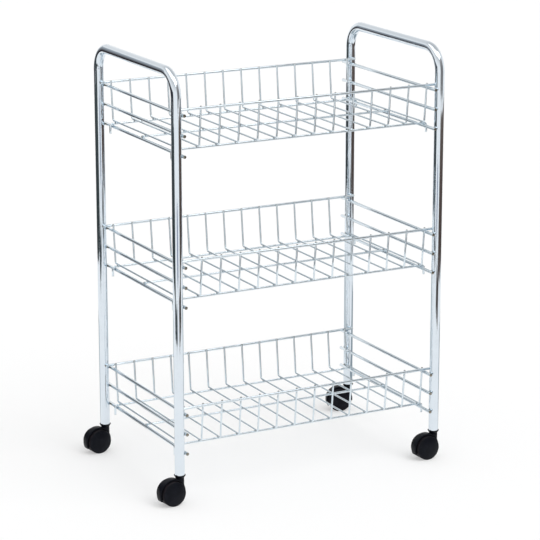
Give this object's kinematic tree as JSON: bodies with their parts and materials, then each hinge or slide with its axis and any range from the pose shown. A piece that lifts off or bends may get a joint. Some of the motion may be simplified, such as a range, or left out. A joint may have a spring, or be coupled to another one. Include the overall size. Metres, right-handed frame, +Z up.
{
  "type": "rolling cart",
  "caption": "Upright rolling cart with bent chrome tube end frames that form the handles, stacked open wire baskets hooked over side rods, and black twin-wheel swivel casters.",
  "frame": {"origin": "on the floor, midway between the axes of the four legs", "axes": "+X to the right along the length of the baskets, +Y from the front to the rear, +Z up"},
  "size_m": [0.4874, 0.3075, 0.6535],
  "materials": {
    "chrome_tube": "bright chrome plate on bent steel tube",
    "chrome_rod": "bright chrome plate on drawn rod",
    "chrome_wire": "bright chrome plate on drawn wire",
    "black_socket_plastic": "satin moulded nylon",
    "black_hood_plastic": "satin moulded nylon",
    "black_wheel_plastic": "satin moulded nylon",
    "steel_pin": "plain drawn steel"
  },
  "bodies": {
    "cart": {"left_end_frame": "chrome_tube", "right_end_frame": "chrome_tube", "lower_left_rods": "chrome_rod", "lower_right_rods": "chrome_rod", "lower_cross_wires": "chrome_wire", "lower_front_rim": "chrome_wire", "lower_rear_rim": "chrome_wire", "lower_front_runner": "chrome_wire", "lower_rear_runner": "chrome_wire", "lower_middle_runner": "chrome_wire", "middle_left_rods": "chrome_rod", "middle_right_rods": "chrome_rod", "middle_cross_wires": "chrome_wire", "middle_front_rim": "chrome_wire", "middle_rear_rim": "chrome_wire", "middle_front_runner": "chrome_wire", "middle_rear_runner": "chrome_wire", "middle_middle_runner": "chrome_wire", "upper_left_rods": "chrome_rod", "upper_right_rods": "chrome_rod", "upper_cross_wires": "chrome_wire", "upper_front_rim": "chrome_wire", "upper_rear_rim": "chrome_wire", "upper_front_runner": "chrome_wire", "upper_rear_runner": "chrome_wire", "upper_middle_runner": "chrome_wire", "front_left_socket": "black_socket_plastic", "front_right_socket": "black_socket_plastic", "rear_left_socket": "black_socket_plastic", "rear_right_socket": "black_socket_plastic"},
    "front_left_caster": {"front_left_hood": "black_hood_plastic", "front_left_stem": "steel_pin", "front_left_axle": "steel_pin"},
    "front_left_near_roller": {"front_left_near_wheel": "black_wheel_plastic"},
    "front_left_far_roller": {"front_left_far_wheel": "black_wheel_plastic"},
    "front_right_caster": {"front_right_hood": "black_hood_plastic", "front_right_stem": "steel_pin", "front_right_axle": "steel_pin"},
    "front_right_near_roller": {"front_right_near_wheel": "black_wheel_plastic"},
    "front_right_far_roller": {"front_right_far_wheel": "black_wheel_plastic"},
    "rear_left_caster": {"rear_left_hood": "black_hood_plastic", "rear_left_stem": "steel_pin", "rear_left_axle": "steel_pin"},
    "rear_left_near_roller": {"rear_left_near_wheel": "black_wheel_plastic"},
    "rear_left_far_roller": {"rear_left_far_wheel": "black_wheel_plastic"},
    "rear_right_caster": {"rear_right_hood": "black_hood_plastic", "rear_right_stem": "steel_pin", "rear_right_axle": "steel_pin"},
    "rear_right_near_roller": {"rear_right_near_wheel": "black_wheel_plastic"},
    "rear_right_far_roller": {"rear_right_far_wheel": "black_wheel_plastic"}
  },
  "joints": [
    {"name": "front_left_swivel", "type": "hinge", "parent": "cart", "child": "front_left_caster", "pos_m": [-0.2205, -0.1345, 0.06], "axis": [0, 0, 1], "continuous": true},
    {"name": "front_left_near_spin", "type": "hinge", "parent": "front_left_caster", "child": "front_left_near_roller", "pos_m": [-0.23544, -0.13581, 0.019], "axis": [-0.0872, 0.9962, 0], "continuous": true},
    {"name": "front_left_far_spin", "type": "hinge", "parent": "front_left_caster", "child": "front_left_far_roller", "pos_m": [-0.23544, -0.13581, 0.019], "axis": [-0.0872, 0.9962, 0], "continuous": true},
    {"name": "front_right_swivel", "type": "hinge", "parent": "cart", "child": "front_right_caster", "pos_m": [0.2205, -0.1345, 0.06], "axis": [0, 0, 1], "continuous": true},
    {"name": "front_right_near_spin", "type": "hinge", "parent": "front_right_caster", "child": "front_right_near_roller", "pos_m": [0.2055, -0.13489, 0.019], "axis": [-0.0262, 0.9997, 0], "continuous": true},
    {"name": "front_right_far_spin", "type": "hinge", "parent": "front_right_caster", "child": "front_right_far_roller", "pos_m": [0.2055, -0.13489, 0.019], "axis": [-0.0262, 0.9997, 0], "continuous": true},
    {"name": "rear_left_swivel", "type": "hinge", "parent": "cart", "child": "rear_left_caster", "pos_m": [-0.2205, 0.1345, 0.06], "axis": [0, 0, 1], "continuous": true},
    {"name": "rear_left_near_spin", "type": "hinge", "parent": "rear_left_caster", "child": "rear_left_near_roller", "pos_m": [-0.23544, 0.13319, 0.019], "axis": [-0.0872, 0.9962, 0], "continuous": true},
    {"name": "rear_left_far_spin", "type": "hinge", "parent": "rear_left_caster", "child": "rear_left_far_roller", "pos_m": [-0.23544, 0.13319, 0.019], "axis": [-0.0872, 0.9962, 0], "continuous": true},
    {"name": "rear_right_swivel", "type": "hinge", "parent": "cart", "child": "rear_right_caster", "pos_m": [0.2205, 0.1345, 0.06], "axis": [0, 0, 1], "continuous": true},
    {"name": "rear_right_near_spin", "type": "hinge", "parent": "rear_right_caster", "child": "rear_right_near_roller", "pos_m": [0.20623, 0.13914, 0.019], "axis": [0.309, 0.9511, 0], "continuous": true},
    {"name": "rear_right_far_spin", "type": "hinge", "parent": "rear_right_caster", "child": "rear_right_far_roller", "pos_m": [0.20623, 0.13914, 0.019], "axis": [0.309, 0.9511, 0], "continuous": true}
  ]
}
